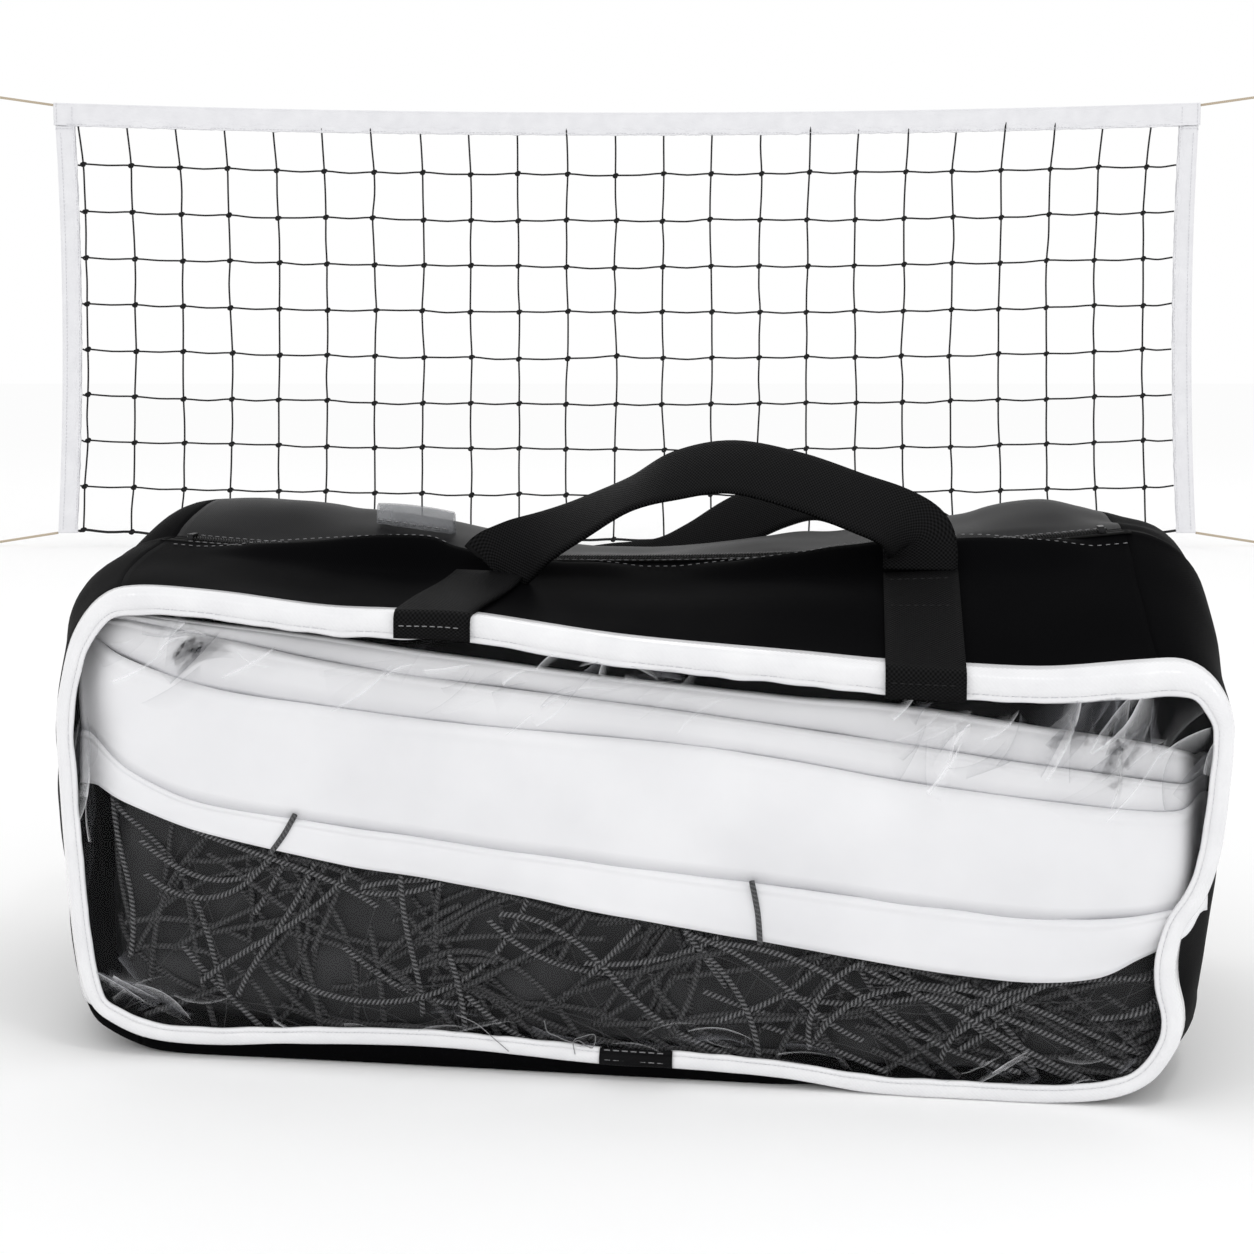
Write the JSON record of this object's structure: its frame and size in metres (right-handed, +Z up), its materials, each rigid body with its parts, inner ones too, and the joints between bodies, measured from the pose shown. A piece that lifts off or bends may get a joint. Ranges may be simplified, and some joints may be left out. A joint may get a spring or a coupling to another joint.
{
  "type": "portable pickleball net with carry bag",
  "caption": "Sagging knotted court net with white edge tapes on four tie cords, behind its zipped carry bag with a clear front window, webbing handles and the net packed inside.",
  "frame": {"origin": "centre of the head cord at mid span, where the net's top line is held", "axes": "+X along the net to the viewer's right, +Y away from the viewer, +Z up; the ground is at z = -0.8899 m"},
  "size_m": [2.7756, 2.7915, 0.9492],
  "materials": {
    "net_twine": "matte",
    "white_tape": "satin",
    "tie_cord": "matte",
    "bag_fabric": "satin",
    "clear_vinyl": "gloss",
    "white_binding": "gloss",
    "joint_tape": "matte",
    "webbing": "matte",
    "zip_tape": "matte",
    "zip_coil": "satin",
    "zip_metal": "gloss",
    "packed_tape": "satin",
    "packed_netting": "matte"
  },
  "bodies": {
    "root": {"top_tape": "white_tape", "left_side_tape": "white_tape", "right_side_tape": "white_tape", "head_cord": "tie_cord", "left_side_cord": "tie_cord", "right_side_cord": "tie_cord", "net_mesh": "net_twine", "foot_cord": "net_twine", "head_tie_left": "tie_cord", "head_tie_right": "tie_cord", "foot_tie_left": "tie_cord", "foot_tie_right": "tie_cord", "head_loop_left": "tie_cord", "head_loop_right": "tie_cord", "foot_loop_left": "tie_cord", "foot_loop_right": "tie_cord", "front_top_panel": "bag_fabric", "back_top_panel": "bag_fabric", "base_panel": "bag_fabric", "left_end_panel": "bag_fabric", "right_end_panel": "bag_fabric", "back_panel": "bag_fabric", "front_binding": "white_binding", "binding_joint_tape": "joint_tape", "clear_window": "clear_vinyl", "zip_tape_front": "zip_tape", "zip_tape_back": "zip_tape", "zip_coil_front": "zip_coil", "zip_coil_back": "zip_coil", "zip_end_stops": "zip_metal", "front_strap_left": "webbing", "front_strap_right": "webbing", "back_strap_left": "webbing", "back_strap_right": "webbing", "hanging_tab": "clear_vinyl", "packed_netting": "packed_netting", "packed_tape_lower": "packed_tape", "packed_tape_middle": "packed_tape", "packed_tape_upper": "packed_tape", "packed_tape_crest": "packed_tape"},
    "front_handle": {"front_handle": "webbing"},
    "back_handle": {"back_handle": "webbing"},
    "zip_slider_left": {"zip_slider_left": "zip_metal"},
    "zip_slider_right": {"zip_slider_right": "zip_metal"},
    "zip_pull_left": {"zip_pull_left": "zip_metal"},
    "zip_pull_right": {"zip_pull_right": "zip_metal"}
  },
  "joints": [
    {"name": "front_handle_swing", "type": "hinge", "parent": "root", "child": "front_handle", "pos_m": [-0.07599, -2.65029, -0.63275], "axis": [0.9917, -0.1278, 0.0129], "range_deg": [-45, 45]},
    {"name": "back_handle_swing", "type": "hinge", "parent": "root", "child": "back_handle", "pos_m": [-0.05357, -2.47643, -0.67411], "axis": [0.9904, -0.1277, 0.0521], "range_deg": [-100, 0]},
    {"name": "left_slider_travel", "type": "hinge", "parent": "root", "child": "zip_slider_left", "pos_m": [-0.05118, -2.61976, 2.06976], "axis": [0.1278, 0.9918, 0], "range_deg": [0, 8.76]},
    {"name": "right_slider_travel", "type": "hinge", "parent": "root", "child": "zip_slider_right", "pos_m": [-0.05118, -2.61976, 2.06976], "axis": [0.1278, 0.9918, 0], "range_deg": [-1.81, 0]},
    {"name": "left_pull_flip", "type": "hinge", "parent": "zip_slider_left", "child": "zip_pull_left", "pos_m": [0.15926, -2.64689, -0.61697], "axis": [0.1278, 0.9918, 0], "range_deg": [0, 100]},
    {"name": "right_pull_flip", "type": "hinge", "parent": "zip_slider_right", "child": "zip_pull_right", "pos_m": [0.17065, -2.64836, -0.61604], "axis": [-0.1278, -0.9918, 0], "range_deg": [0, 100]}
  ]
}
